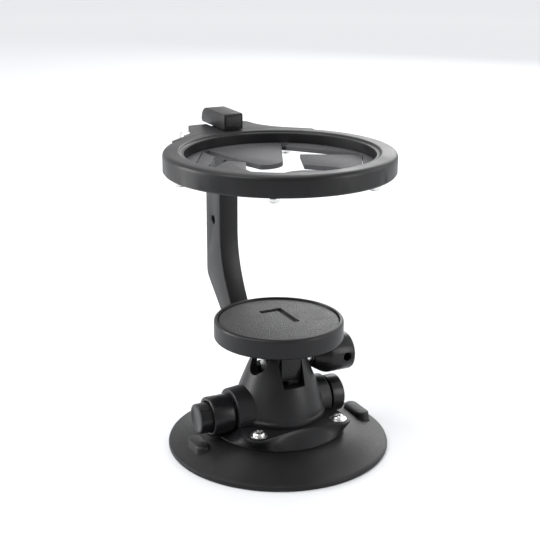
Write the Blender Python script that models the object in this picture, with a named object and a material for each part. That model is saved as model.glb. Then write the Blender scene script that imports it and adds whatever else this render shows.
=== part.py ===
"""Suction-mounted drink holder, built as an assembly of separate pieces.

The script's own unit is the millimetre; every mesh and place is turned into metres by MM.
+Z is up. Shapes are written in the assembly's frame, whose origin is the middle of the suction
cup's foot; the arm stands at +Y, and the vacuum pump's push button points along -X. Each object's
origin is then put on the axis that it turns or slides about, and the assembly empty is moved
along Y so that the middle of the whole holder's foot print is at the world's origin.
"""

from math import cos, pi, radians, sin

import bmesh
import bpy
from mathutils import Matrix, Vector

MM = 0.001
ASSEMBLY = "assembly"

# Suction cup and base plate
CUP_RADIUS = 57.0
CUP_TOP = 9.8
CUP_TABS = ((47.3, 5.4), (-44.8, 4.4))
PLATE_BOTTOM = 10.1
PLATE_TOP = 17.2
PLATE_FOOT_RADIUS = 35.0
PLATE_SIDE = 25.7
SCREW_X = 22.5
SCREW_Y = 23.2
STEM_RADIUS = 4.6

# Housing, the bell that stands on the base plate
HOUSING_BOTTOM = 17.5
HOUSING_FOOT_RADIUS = 24.3
DECK_BOTTOM = 31.0
DECK_TOP = 34.0
CROWN_TOP = 50.5
CROWN_RADIUS = 12.9

# Vacuum pump, along X
PUMP_Z = 21.0
PUMP_BORE = 8.9
CYLINDER_RADIUS = 8.6
CYLINDER_BORE = 7.4
CYLINDER_LEFT = -27.2
CYLINDER_RIGHT = 25.6
COLLAR_RADIUS = 10.2
COLLAR_LEFT = -40.0
COLLAR_RIGHT = -28.2
BUTTON_RADIUS = 7.7
BUTTON_LEFT = -46.3
BUTTON_RIGHT = -35.2
END_CAP_RADIUS = 9.8
END_CAP_LEFT = 26.1
END_CAP_RIGHT = 34.8

# Tilt joint, along X
TILT_Z = 44.0
CLAMP_SHAFT_RADIUS = 2.9
KNOB_RADIUS = 9.9
KNOB_LEFT = 18.4
KNOB_RIGHT = 40.3

# Tray under the cup
TRAY_RADIUS = 33.0
TRAY_BOTTOM = 57.85
TRAY_TOP = 68.2
TRAY_RIM_BORE = 30.9
PAD_BOTTOM = 64.9
PAD_TOP = 67.3

# Arm behind the cup
ARM_HALF_WIDTH = 5.5
ARM_INNER_Y = 60.3
ARM_BACK_Y = 78.8
ARM_TOP_Z = 57.3
ARM_UNDER_Z = 43.6
ARM_HOLE_Y = 69.5
ARM_HOLE_Z = 103.0
SHELF_Y = 54.0
SHELF_TOP = 144.1

# Ring round the cup
RING_RADIUS = 57.0
RING_BORE = 46.7
RING_TOP = 154.7
RING_BOTTOM = 144.5
RING_FLOOR = 148.8
RING_SCREW_RADIUS = 52.4
RING_SCREWS = 6
EAR_HALF_WIDTH = 17.6
EAR_BACK_Y = 76.0
EAR_SLOT_HALF_WIDTH = 5.9
FOLD_Y = 70.0
FOLD_Z = 149.6
FOLD_PIN_RADIUS = 2.0

# Catch that slides back over the ear, on a T-shaped rail
CATCH_HALF_WIDTH = 5.3
CATCH_FRONT_Y = 53.8
CATCH_REAR_Y = 84.0
CATCH_BOTTOM = 155.0
CATCH_TOP = 163.2
RAIL_FRONT_Y = 60.0
RAIL_REAR_Y = 64.2

# Flexible petals that grip the cup: each one's middle direction in degrees, and its free edge
# in plan from the root's right end to its left end, as seen from the ring's middle
PETAL_BOTTOM = 146.1
PETAL_TOP = 148.5
PETAL_HINGE_RADIUS = 40.1
OPENING_RADIUS = 40.4
PETALS = [
    (90, [(21, 40.1), (2.3, 1.3), (-0.8, -1.6), (-4.2, -3), (-8, -3.2), (-10.9, -2.3)]
        + [(-13.2, 4), (-15.7, 12.3), (-18.9, 29.1), (-20.6, 40.1)]),
    (150, [(-24.2, 38.2), (-23.8, 25), (-32.6, 9.4), (-45.2, 1.9)]),
    (210, [(-44.6, -2.9), (-31.6, 4.6), (-22.4, 13.6), (-15.4, 6.4), (-21.4, -7), (-21.6, -24)]
        + [(-24.6, -37.5)]),
    (270, [(-20.8, -40.1), (-17, -27.5), (-9, -20.5), (1, -19), (10, -25), (20.8, -40.1)]),
    (330, [(24.6, -37.5), (19, -21), (8, -10), (17.3, 12.1), (44.9, -2.4)]),
    (30, [(45, 2.3), (20.1, 32.8), (24.5, 37.7)]),
]

ROUND = 48
SMALL = 24
TINY = 12


def clear_scene():
    for old in list(bpy.data.objects):
        bpy.data.objects.remove(old)


def make_material(name, colour, roughness, metallic=0.0):
    material = bpy.data.materials.new(name)
    material.use_nodes = True
    shader = material.node_tree.nodes["Principled BSDF"]
    shader.inputs["Base Color"].default_value = (*colour, 1.0)
    shader.inputs["Roughness"].default_value = roughness
    shader.inputs["Metallic"].default_value = metallic
    return material


def make_pivot(name, place, parent=None):
    """An empty on a joint's axis, which the pieces of that moving group hang from."""
    pivot = bpy.data.objects.new(name, None)
    pivot.empty_display_size = 0.01
    bpy.context.scene.collection.objects.link(pivot)
    pivot["place"] = list(Vector(place) * MM)
    pivot.location = pivot["place"]
    if parent:
        pivot.parent = parent
        pivot.location = Vector(pivot["place"]) - Vector(parent["place"])
    return pivot


def add_piece(name, body, material, origin=(0, 0, 0), pivot=None, smooth=True):
    """Turns a bmesh in assembly millimetres into an object whose origin is at origin."""
    bmesh.ops.recalc_face_normals(body, faces=body.faces)
    bmesh.ops.translate(body, verts=body.verts, vec=-Vector(origin))
    bmesh.ops.scale(body, verts=body.verts, vec=(MM, MM, MM))
    mesh = bpy.data.meshes.new(name)
    body.to_mesh(mesh)
    body.free()
    if smooth:
        mesh.shade_smooth()
        mesh.set_sharp_from_angle(angle=radians(35))
    mesh.materials.append(material)
    piece = bpy.data.objects.new(name, mesh)
    bpy.context.scene.collection.objects.link(piece)
    if pivot is None:
        pivot = bpy.data.objects[ASSEMBLY]
    piece.parent = pivot
    piece.location = Vector(origin) * MM - Vector(pivot["place"])
    return piece


def cut(piece, body, operation="DIFFERENCE"):
    """Cuts a bmesh in assembly millimetres from a piece, or joins it on, and hides the cutter."""
    number = len([one for one in piece.modifiers if one.type == "BOOLEAN"]) + 1
    tool = add_piece(f"cutter_{piece.name}_{number}", body, piece.active_material, smooth=False)
    tool.hide_render = True
    tool.display_type = "WIRE"
    boolean = piece.modifiers.new(f"{operation.lower()}_{number}", "BOOLEAN")
    boolean.operation = operation
    boolean.object = tool
    boolean.solver = "EXACT"
    return piece


def spin(profile, steps=ROUND, axis="Z", centre=(0, 0, 0)):
    """A turned solid. The profile is a closed outline of (radius, height) points; a point with
    radius 0 lies on the axis. Height runs along the axis, and centre is a point on it."""
    body = bmesh.new()
    rings = []
    for radius, height in profile:
        if radius == 0:
            rings.append([body.verts.new((0, 0, height))] * steps)
            continue
        ring = []
        for step in range(steps):
            turn = 2 * pi * step / steps
            ring.append(body.verts.new((radius * cos(turn), radius * sin(turn), height)))
        rings.append(ring)
    for index, ring in enumerate(rings):
        after = rings[(index + 1) % len(rings)]
        for step in range(steps):
            following = (step + 1) % steps
            corners = [ring[step], ring[following], after[following], after[step]]
            corners = list(dict.fromkeys(corners))
            if len(corners) > 2:
                body.faces.new(corners)
    if axis == "X":
        bmesh.ops.rotate(body, verts=body.verts, matrix=Matrix.Rotation(pi / 2, 3, "Y"))
    if axis == "Y":
        bmesh.ops.rotate(body, verts=body.verts, matrix=Matrix.Rotation(-pi / 2, 3, "X"))
    bmesh.ops.translate(body, verts=body.verts, vec=centre)
    return body


def rod(radius, start, end, steps=SMALL, axis="Z", centre=(0, 0, 0)):
    profile = [(0, start), (radius, start), (radius, end), (0, end)]
    return spin(profile, steps, axis, centre)


def tube(radius, bore, start, end, steps=SMALL, axis="Z", centre=(0, 0, 0)):
    profile = [(bore, start), (radius, start), (radius, end), (bore, end)]
    return spin(profile, steps, axis, centre)


def prism(outline, low, high, axis="Z"):
    """A closed outline pushed along an axis. The outline's points are the other two
    coordinates, in the order X, Y, Z."""
    places = {
        "X": lambda point, depth: (depth, point[0], point[1]),
        "Y": lambda point, depth: (point[0], depth, point[1]),
        "Z": lambda point, depth: (point[0], point[1], depth),
    }
    body = bmesh.new()
    ends = []
    for depth in (low, high):
        ends.append([body.verts.new(places[axis](point, depth)) for point in outline])
    body.faces.new(ends[0])
    body.faces.new(ends[1])
    for index in range(len(outline)):
        after = (index + 1) % len(outline)
        body.faces.new([ends[0][index], ends[0][after], ends[1][after], ends[1][index]])
    return body


def box(low, high):
    corners = [(low[0], low[1]), (high[0], low[1]), (high[0], high[1]), (low[0], high[1])]
    return prism(corners, low[2], high[2])


def loft(lower, upper, low, high):
    """A solid between two outlines of the same number of points."""
    body = bmesh.new()
    bottom = [body.verts.new((x, y, low)) for x, y in lower]
    top = [body.verts.new((x, y, high)) for x, y in upper]
    body.faces.new(bottom)
    body.faces.new(top)
    for index in range(len(lower)):
        after = (index + 1) % len(lower)
        body.faces.new([bottom[index], bottom[after], top[after], top[index]])
    return body


def arc(centre, radius, start, end, steps):
    """Points of an arc from one angle to another, in degrees."""
    points = []
    for step in range(steps + 1):
        turn = radians(start + (end - start) * step / steps)
        points.append((centre[0] + radius * cos(turn), centre[1] + radius * sin(turn)))
    return points


def curve(corners, steps):
    """A smooth Bezier curve of any degree through its end points."""
    points = []
    for step in range(steps + 1):
        share = step / steps
        level = [Vector(corner) for corner in corners]
        while len(level) > 1:
            level = [a.lerp(b, share) for a, b in zip(level, level[1:])]
        points.append((level[0].x, level[0].y))
    return points


def pan_screw(head_radius, head_height, shank_radius, shank_length, centre, down=False):
    """A pan-head screw with its head's seat at centre. Its head points up, or down."""
    way = -1 if down else 1
    profile = [
        (0, head_height),
        (head_radius * 0.55, head_height * 0.93),
        (head_radius * 0.9, head_height * 0.55),
        (head_radius, 0),
        (shank_radius, 0),
        (shank_radius, -shank_length),
        (0, -shank_length),
    ]
    return spin([(radius, way * height) for radius, height in profile], TINY, centre=centre)


def cross_recess(width, length, low, high, centre):
    """The cross in a screw's head, as one cutter."""
    half = width / 2
    reach = length / 2
    outline = [
        (reach, -half),
        (reach, half),
        (half, half),
        (half, reach),
        (-half, reach),
        (-half, half),
        (-reach, half),
        (-reach, -half),
        (-half, -half),
        (-half, -reach),
        (half, -reach),
        (half, -half),
    ]
    moved = [(centre[0] + x, centre[1] + y) for x, y in outline]
    return prism(moved, centre[2] + low, centre[2] + high)


def build_suction_cup(rubber):
    profile = [
        (5.2, CUP_TOP),
        (34.6, CUP_TOP),
        (38.0, 9.0),
        (45.0, 6.2),
        (51.0, 3.9),
        (55.6, 2.3),
        (CUP_RADIUS, 1.5),
        (CUP_RADIUS, 0.0),
        (54.0, 0.0),
        (46.0, 3.0),
        (38.0, 5.9),
        (32.0, 7.1),
        (5.2, 7.1),
    ]
    cup = add_piece("suction_cup", spin(profile, 64), rubber)
    for middle, reach in CUP_TABS:
        top = arc((middle, reach), 3.9, 0, 180, 8) + arc((middle, -reach), 3.9, 180, 360, 8)
        foot = arc((middle, reach), 4.9, 0, 180, 8) + arc((middle, -reach), 4.9, 180, 360, 8)
        cut(cup, loft(foot, top, 4.6, 9.4), "UNION")


def plate_outline(side, corner_x, corner_y, corner_radius, steps):
    """A square with waisted sides and a round lobe at each corner, counted from +X."""
    points = []
    for turn, x, y in ((0, 1, 1), (90, -1, 1), (180, -1, -1), (270, 1, -1)):
        points += arc((x * corner_x, y * corner_y), corner_radius, turn - 8, turn + 98, steps)
        waist = turn + 90
        points.append((side * cos(radians(waist)), side * sin(radians(waist))))
    return points


def build_base_plate(plastic):
    upper = plate_outline(PLATE_SIDE, SCREW_X, SCREW_Y, 6.4, 6)
    lower = []
    for x, y in upper:
        length = (x * x + y * y) ** 0.5
        lower.append((PLATE_FOOT_RADIUS * x / length, PLATE_FOOT_RADIUS * y / length))
    plate = add_piece("base_plate", loft(lower, upper, PLATE_BOTTOM, PLATE_TOP), plastic)
    cut(plate, rod(5.2, PLATE_BOTTOM - 1, PLATE_TOP + 1))
    channel = [(0, -46), (11.2, -46), (11.2, -27.9), (8.9, -27.9)]
    channel += [(8.9, 25.8), (10.2, 25.8), (10.2, 46), (0, 46)]
    cut(plate, spin(channel, 40, "X", (0, 0, PUMP_Z)))
    for x, y in screw_places():
        cut(plate, rod(1.9, PLATE_BOTTOM - 1, PLATE_TOP + 1, TINY, centre=(x, y, 0)))


def screw_places():
    return [(x * SCREW_X, y * SCREW_Y) for x, y in ((1, 1), (-1, 1), (-1, -1), (1, -1))]


def build_base_screws(steel):
    for number, (x, y) in enumerate(screw_places(), 1):
        seat = (x, y, PLATE_TOP + 0.3)
        screw = add_piece(
            f"base_screw_{number}", pan_screw(4.0, 1.8, 1.5, 5.6, seat), steel, (x, y, PLATE_TOP)
        )
        cut(screw, cross_recess(0.9, 3.8, 0.9, 3.0, seat))


def build_housing(plastic):
    profile = [
        (0, DECK_TOP),
        (12.6, DECK_TOP),
        (12.0, 42.0),
        (10.9, CROWN_TOP),
        (CROWN_RADIUS, CROWN_TOP),
        (14.3, 47.5),
        (15.2, 45.0),
        (17.0, 40.5),
        (19.3, 34.5),
        (21.6, 28.0),
        (22.9, 22.0),
        (23.3, 20.2),
        (HOUSING_FOOT_RADIUS, 19.4),
        (HOUSING_FOOT_RADIUS, HOUSING_BOTTOM - 1),
        (21.2, HOUSING_BOTTOM - 1),
        (20.6, 21.0),
        (18.4, 27.0),
        (15.0, DECK_BOTTOM),
        (0, DECK_BOTTOM),
    ]
    housing = add_piece("housing", spin(profile, ROUND), plastic)
    middle = (0, 0, PUMP_Z)
    left_boss = [(0, -17.0), (13.4, -17.0), (12.5, -27.7), (0, -27.7)]
    right_boss = [(0, 16.0), (12.2, 16.0), (11.2, 25.8), (0, 25.8)]
    cut(housing, spin(left_boss, 40, "X", middle), "UNION")
    cut(housing, spin(right_boss, 40, "X", middle), "UNION")
    cut(housing, box((-40, -40, 5), (40, 40, HOUSING_BOTTOM)))
    cut(housing, rod(PUMP_BORE, -30, 30, 36, "X", middle))
    front = [(-5.7, 36.3), (6.2, 36.3), (7.4, 60), (-7.0, 60)]
    cut(housing, prism(front, -30, -5, "Y"))
    cut(housing, box((-13.4, 4.9, 39.1), (13.4, 30, 60)))
    for low, high, middle, radius in ((-30, -8, (-3.5, 46.4), 5.4), (8, 30, (0.4, 41.4), 4.4)):
        notch = arc(middle, radius, 180, 360, 10)
        notch += [(middle[0] + radius, 60), (middle[0] - radius, 60)]
        cut(housing, prism(notch, low, high, "X"))


def build_pump_cylinder(plastic):
    inner_wall = CYLINDER_LEFT + 1.6
    profile = [
        (3.0, CYLINDER_LEFT),
        (CYLINDER_RADIUS, CYLINDER_LEFT),
        (CYLINDER_RADIUS, CYLINDER_RIGHT),
        (CYLINDER_BORE, CYLINDER_RIGHT),
        (CYLINDER_BORE, inner_wall),
        (3.0, inner_wall),
    ]
    middle = (0, 0, PUMP_Z)
    cylinder = add_piece("pump_cylinder", spin(profile, 32, "X", middle), plastic, middle)
    cut(cylinder, rod(1.6, 8, PUMP_Z - 4, TINY, centre=(18, 0, 0)))


def build_pump_collar(plastic):
    profile = [
        (8.1, COLLAR_LEFT),
        (9.6, COLLAR_LEFT),
        (COLLAR_RADIUS, COLLAR_LEFT + 0.7),
        (COLLAR_RADIUS, COLLAR_RIGHT - 0.5),
        (9.8, COLLAR_RIGHT),
        (8.1, COLLAR_RIGHT),
    ]
    middle = (0, 0, PUMP_Z)
    add_piece("pump_collar", spin(profile, 40, "X", middle), plastic, middle)


def build_pump_end_cap(plastic):
    profile = [
        (0, END_CAP_RIGHT),
        (8.6, END_CAP_RIGHT),
        (END_CAP_RADIUS, END_CAP_RIGHT - 1.2),
        (END_CAP_RADIUS, END_CAP_LEFT + 1.3),
        (8.7, END_CAP_LEFT + 1.0),
        (8.7, END_CAP_LEFT),
        (7.0, END_CAP_LEFT),
        (7.0, END_CAP_LEFT + 5.5),
        (0, END_CAP_LEFT + 5.5),
    ]
    middle = (0, 0, PUMP_Z)
    add_piece("pump_end_cap", spin(profile, 40, "X", middle), plastic, middle)


def build_pump_button(plastic, pivot):
    profile = [
        (0, BUTTON_LEFT),
        (6.9, BUTTON_LEFT),
        (BUTTON_RADIUS, BUTTON_LEFT + 0.8),
        (BUTTON_RADIUS, BUTTON_RIGHT),
        (6.4, BUTTON_RIGHT),
        (6.4, BUTTON_LEFT + 2.2),
        (0, BUTTON_LEFT + 2.2),
    ]
    middle = (0, 0, PUMP_Z)
    add_piece("pump_button", spin(profile, 40, "X", middle), plastic, middle, pivot)


def build_pump_rod(steel, rubber, pivot):
    head = 9.0
    profile = [
        (0, BUTTON_LEFT + 2.5),
        (4.0, BUTTON_LEFT + 2.5),
        (4.0, BUTTON_LEFT + 3.7),
        (2.4, BUTTON_LEFT + 3.7),
        (2.4, head),
        (6.9, head),
        (6.9, head + 1.5),
        (5.2, head + 1.5),
        (5.2, head + 3.7),
        (6.9, head + 3.7),
        (6.9, head + 5.2),
        (0, head + 5.2),
    ]
    middle = (0, 0, PUMP_Z)
    add_piece("pump_rod", spin(profile, SMALL, "X", middle), steel, middle, pivot)
    seal = tube(7.3, 5.45, head + 1.75, head + 3.45, SMALL, "X", middle)
    add_piece("piston_seal", seal, rubber, middle, pivot)


def build_pump_spring(steel, pivot):
    """A coil round the rod, from the button's inside to the cylinder's end wall."""
    start = BUTTON_LEFT + 4.9
    end = CYLINDER_LEFT - 1.0
    coil_radius = 4.6
    wire = 0.5
    turns = 5
    around = 14
    sides = 6
    body = bmesh.new()
    loops = []
    for step in range(turns * around + 1):
        turn = 2 * pi * step / around
        along = start + (end - start) * step / (turns * around)
        loop = []
        for side in range(sides):
            bend = 2 * pi * side / sides
            radius = coil_radius + wire * cos(bend)
            height = PUMP_Z + radius * sin(turn)
            loop.append(body.verts.new((along + wire * sin(bend), radius * cos(turn), height)))
        loops.append(loop)
    for first, second in zip(loops, loops[1:]):
        for side in range(sides):
            after = (side + 1) % sides
            body.faces.new([first[side], first[after], second[after], second[side]])
    body.faces.new(loops[0])
    body.faces.new(loops[-1])
    add_piece("pump_spring", body, steel, (0, 0, PUMP_Z), pivot)


def build_valve(plastic, rubber):
    stem = tube(STEM_RADIUS, 1.6, 7.4, 12.1, SMALL)
    add_piece("vacuum_stem", stem, plastic)
    valve = [(0, 6.9), (4.4, 6.9), (4.7, 6.2), (1.8, 5.0), (0, 5.0)]
    add_piece("check_valve", spin(valve, SMALL), rubber)


def build_pivot_post(plastic):
    """The fixed post that the tilting hub straddles."""
    foot = DECK_TOP + 0.3
    outline = [(-4.6, foot), (4.6, foot), (4.6, TILT_Z)]
    outline += arc((0, TILT_Z), 4.6, 0, 180, 12)[1:]
    post = add_piece("pivot_post", prism(outline, -3.6, 3.6, "X"), plastic, (0, 0, TILT_Z))
    cut(post, rod(CLAMP_SHAFT_RADIUS + 0.3, -6, 6, SMALL, "X", (0, 0, TILT_Z)))


def build_clamp(steel, plastic, pivot):
    middle = (0, 0, TILT_Z)
    shaft = rod(CLAMP_SHAFT_RADIUS, -8.5, 30.6, SMALL, "X", middle)
    add_piece("clamp_screw", shaft, steel, middle, pivot)
    nut = []
    for corner in range(6):
        turn = radians(60 * corner)
        nut.append((4.1 * cos(turn), TILT_Z + 4.1 * sin(turn)))
    clamp_nut = add_piece("clamp_nut", prism(nut, -8.4, -6.2, "X"), steel, middle, pivot)
    cut(clamp_nut, rod(CLAMP_SHAFT_RADIUS + 0.2, -12, -5, SMALL, "X", middle))
    profile = [
        (0, KNOB_RIGHT),
        (8.7, KNOB_RIGHT),
        (KNOB_RADIUS, KNOB_RIGHT - 1.2),
        (KNOB_RADIUS, 25.6),
        (8.6, 22.4),
        (5.6, KNOB_LEFT),
        (CLAMP_SHAFT_RADIUS + 0.3, KNOB_LEFT),
        (CLAMP_SHAFT_RADIUS + 0.3, 30.9),
        (0, 30.9),
    ]
    knob = add_piece("tilt_knob", spin(profile, 40, "X", middle), plastic, middle, pivot)
    cut(knob, rod(2.3, -14, 14, SMALL, "Y", (35.2, 0, TILT_Z)))


def build_tilt_hub(plastic, pivot):
    """A fork over the post, with a tongue that shows in the housing's front slot."""
    outline = [(8.6 * cos(2 * pi * n / 32), 7.0 * sin(2 * pi * n / 32)) for n in range(32)]
    top = TRAY_BOTTOM - 0.3
    hub = add_piece(
        "tilt_hub", prism(outline, 38.2, top), plastic, (0, 0, TILT_Z), pivot, smooth=True
    )
    cut(hub, box((-4.7, -13.0, 38.5), (5.9, -2.0, top - 0.01)), "UNION")
    cut(hub, box((-4.0, -6.2, 30), (4.0, 12.0, 50.4)))
    cut(hub, rod(CLAMP_SHAFT_RADIUS + 0.3, -20, 20, SMALL, "X", (0, 0, TILT_Z)))
    cut(hub, rod(4.5, -12, -5.9, SMALL, "X", (0, 0, TILT_Z)))
    cut(hub, rod(1.9, 51, 60, TINY))


def build_tray(plastic, rubber, steel, pivot):
    origin = (0, 0, TILT_Z)
    profile = [
        (4.2, PAD_BOTTOM - 0.3),
        (TRAY_RIM_BORE, PAD_BOTTOM - 0.3),
        (TRAY_RIM_BORE, TRAY_TOP - 0.4),
        (TRAY_RIM_BORE + 0.4, TRAY_TOP),
        (TRAY_RADIUS - 0.9, TRAY_TOP),
        (TRAY_RADIUS, TRAY_TOP - 0.9),
        (TRAY_RADIUS, TRAY_BOTTOM + 1.2),
        (TRAY_RADIUS - 1.2, TRAY_BOTTOM),
        (1.9, TRAY_BOTTOM),
        (1.9, 62.2),
        (4.2, 62.2),
    ]
    add_piece("tray", spin(profile, 64), plastic, origin, pivot)
    screw = pan_screw(3.6, 1.9, 1.6, 9.6, (0, 0, 62.5))
    add_piece("tray_screw", screw, steel, origin, pivot)
    pad_profile = [
        (0, PAD_BOTTOM),
        (TRAY_RIM_BORE - 0.3, PAD_BOTTOM),
        (TRAY_RIM_BORE - 0.3, PAD_TOP - 0.3),
        (TRAY_RIM_BORE - 0.6, PAD_TOP),
        (0, PAD_TOP),
    ]
    pad = add_piece("tray_pad", spin(pad_profile, 64), rubber, origin, pivot)
    groove = [(-4.2, 14.8), (8.3, 14.8), (8.3, -7.4), (4.9, -7.4), (4.9, 11.0), (-4.2, 11.0)]
    cut(pad, prism(groove, PAD_TOP - 1.4, PAD_TOP + 2))


def arm_outline():
    """The arm's side view, as (y, z) points."""
    inner = [(ARM_INNER_Y, 133.0)]
    inner += curve([(ARM_INNER_Y, 98), (ARM_INNER_Y, 79), (49.5, 64), (44, ARM_TOP_Z)], 10)
    foot = [(36.5, ARM_TOP_Z), (7.4, ARM_TOP_Z), (7.4, ARM_UNDER_Z), (46.0, ARM_UNDER_Z)]
    back = [(53.5, 47.8), (60.8, 54.0), (78.0, 69.4), (ARM_BACK_Y, 71.2)]
    head = [(ARM_BACK_Y, 123.0), (75.0, 130.0), (75.0, 147.0)]
    head += arc((FOLD_Y, FOLD_Z), 5.0, 0, 180, 10)
    head += [(64.9, 146.0), (62.0, SHELF_TOP), (SHELF_Y, SHELF_TOP), (SHELF_Y, 136.0)]
    return inner + foot + back + head


def build_arm(plastic, pivot):
    origin = (0, 0, TILT_Z)
    arm = add_piece(
        "arm", prism(arm_outline(), -ARM_HALF_WIDTH, ARM_HALF_WIDTH, "X"), plastic, origin, pivot
    )
    cut(arm, rod(2.2, -10, 10, SMALL, "X", (0, ARM_HOLE_Y, ARM_HOLE_Z)))
    cut(arm, rod(FOLD_PIN_RADIUS + 0.3, -10, 10, SMALL, "X", (0, FOLD_Y, FOLD_Z)))


def ear_outline():
    """The ear's plan, from the ring's right side round its back end to the left side."""
    inside = arc((0, 0), RING_RADIUS - 1.0, 136, 44, 16)
    right = curve([(41.0, 39.6), (33.0, 47.5), (22.0, 53.5), (18.4, 67.0)], 7)
    right += [(EAR_HALF_WIDTH, EAR_BACK_Y - 3.0), (EAR_HALF_WIDTH - 3.0, EAR_BACK_Y)]
    left = [(-x, y) for x, y in reversed(right)]
    return inside + right + left


def build_ring(plastic, rubber, steel, pivot):
    origin = (0, FOLD_Y, FOLD_Z)
    profile = [
        (RING_BORE, RING_FLOOR),
        (RING_BORE, RING_TOP - 0.7),
        (RING_BORE + 0.7, RING_TOP),
        (RING_RADIUS - 1.3, RING_TOP),
        (RING_RADIUS, RING_TOP - 1.3),
        (RING_RADIUS, RING_BOTTOM),
        (RING_RADIUS - 1.8, RING_BOTTOM),
        (RING_RADIUS - 1.8, RING_FLOOR),
    ]
    ring = add_piece("ring_body", spin(profile, 64), plastic, origin, pivot)
    cut(ring, prism(ear_outline(), RING_BOTTOM + 0.8, RING_TOP - 0.01), "UNION")
    slot = EAR_SLOT_HALF_WIDTH
    cut(ring, box((-slot, 58.0, 140), (slot, 90, 152.2)))
    cut(ring, box((-slot, 64.6, 140), (slot, 90, 160)))
    cut(ring, rod(FOLD_PIN_RADIUS + 0.2, -30, 30, SMALL, "X", origin))
    rail = [(-2.2, RING_TOP - 1), (2.2, RING_TOP - 1), (2.2, 158.5), (3.4, 158.5)]
    rail += [(3.4, 160.2), (-3.4, 160.2), (-3.4, 158.5), (-2.2, 158.5)]
    cut(ring, prism(rail, RAIL_FRONT_Y, RAIL_REAR_Y, "Y"), "UNION")
    for number in range(RING_SCREWS):
        x, y = ring_screw_place(number)
        cut(ring, rod(1.5, RING_FLOOR - 2, RING_TOP - 2.2, TINY, centre=(x, y, 0)))
    base = add_piece(
        "ring_base", tube(54.9, 47.0, RING_BOTTOM - 0.1, PETAL_BOTTOM - 0.3, 64), plastic, origin, pivot
    )
    grip = add_piece("grip_ring", hexagonal_washer(), rubber, origin, pivot)
    for number in range(RING_SCREWS):
        x, y = ring_screw_place(number)
        cut(base, rod(1.5, 140, 150, 10, centre=(x, y, 0)))
        cut(grip, rod(1.5, 140, 150, 10, centre=(x, y, 0)))
        seat = (x, y, RING_BOTTOM - 0.5)
        screw = pan_screw(3.0, 2.4, 1.2, 7.6, seat, down=True)
        add_piece(f"ring_screw_{number + 1}", screw, steel, origin, pivot)
    pin = [
        (0, -23.4),
        (2.4, -23.0),
        (3.2, -21.6),
        (3.2, -18.6),
        (FOLD_PIN_RADIUS, -18.6),
        (FOLD_PIN_RADIUS, 20.6),
        (0, 20.6),
    ]
    add_piece("fold_pin", spin(pin, SMALL, "X", origin), steel, origin, pivot)


def hexagonal_washer():
    """A flat ring that is round outside, with the petals' six-sided opening in it."""
    body = bmesh.new()
    rings = []
    for outside, height in ((0, PETAL_BOTTOM), (1, PETAL_BOTTOM), (1, PETAL_TOP), (0, PETAL_TOP)):
        ring = []
        for step in range(60):
            turn = radians(6 * step)
            off_side = radians((6 * step) % 60 - 30)
            reach = 54.6 if outside else OPENING_RADIUS / cos(off_side)
            ring.append(body.verts.new((reach * cos(turn), reach * sin(turn), height)))
        rings.append(ring)
    for index, ring in enumerate(rings):
        after = rings[(index + 1) % 4]
        for step in range(60):
            following = (step + 1) % 60
            body.faces.new([ring[step], ring[following], after[following], after[step]])
    return body


def ring_screw_place(number):
    turn = radians(360 * number / RING_SCREWS)
    return RING_SCREW_RADIUS * cos(turn), RING_SCREW_RADIUS * sin(turn)


def build_slide_catch(plastic, steel, pivot):
    """A block that rides on the ring's rail. A cross pin behind the rail keeps it on."""
    outline = [(CATCH_FRONT_Y, CATCH_BOTTOM), (CATCH_FRONT_Y, CATCH_TOP - 0.8)]
    outline += [(CATCH_FRONT_Y + 0.8, CATCH_TOP)]
    outline += arc((CATCH_REAR_Y - 6.0, CATCH_TOP - 6.0), 6.0, 90, 0, 8)
    outline += [(CATCH_REAR_Y - 1.2, CATCH_BOTTOM)]
    half = CATCH_HALF_WIDTH
    origin = (0, RAIL_REAR_Y, CATCH_BOTTOM)
    catch = add_piece("slide_catch", prism(outline, -half, half, "X"), plastic, origin, pivot)
    slot = [(-2.6, CATCH_BOTTOM - 1), (2.6, CATCH_BOTTOM - 1), (2.6, 158.2), (3.8, 158.2)]
    slot += [(3.8, 160.6), (-3.8, 160.6), (-3.8, 158.2), (-2.6, 158.2)]
    cut(catch, prism(slot, 55.6, CATCH_REAR_Y + 5, "Y"))
    across = (0, RAIL_REAR_Y + 1.6, 156.9)
    cut(catch, rod(1.1, -6, 4.8, TINY, "X", across))
    add_piece("catch_pin", rod(0.8, -5.0, 4.5, TINY, "X", across), steel, across, pivot)


def build_petals(rubber, pivots):
    for number, (pivot, (middle, edge)) in enumerate(zip(pivots, PETALS), 1):
        body = prism(edge, PETAL_BOTTOM, PETAL_TOP)
        add_piece(f"grip_petal_{number}", body, rubber, petal_hinge(middle), pivot)


def petal_hinge(middle):
    """The middle of a petal's lower root edge, which it bends about."""
    turn = radians(middle)
    radius = PETAL_HINGE_RADIUS
    return radius * cos(turn), radius * sin(turn), PETAL_BOTTOM


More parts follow.
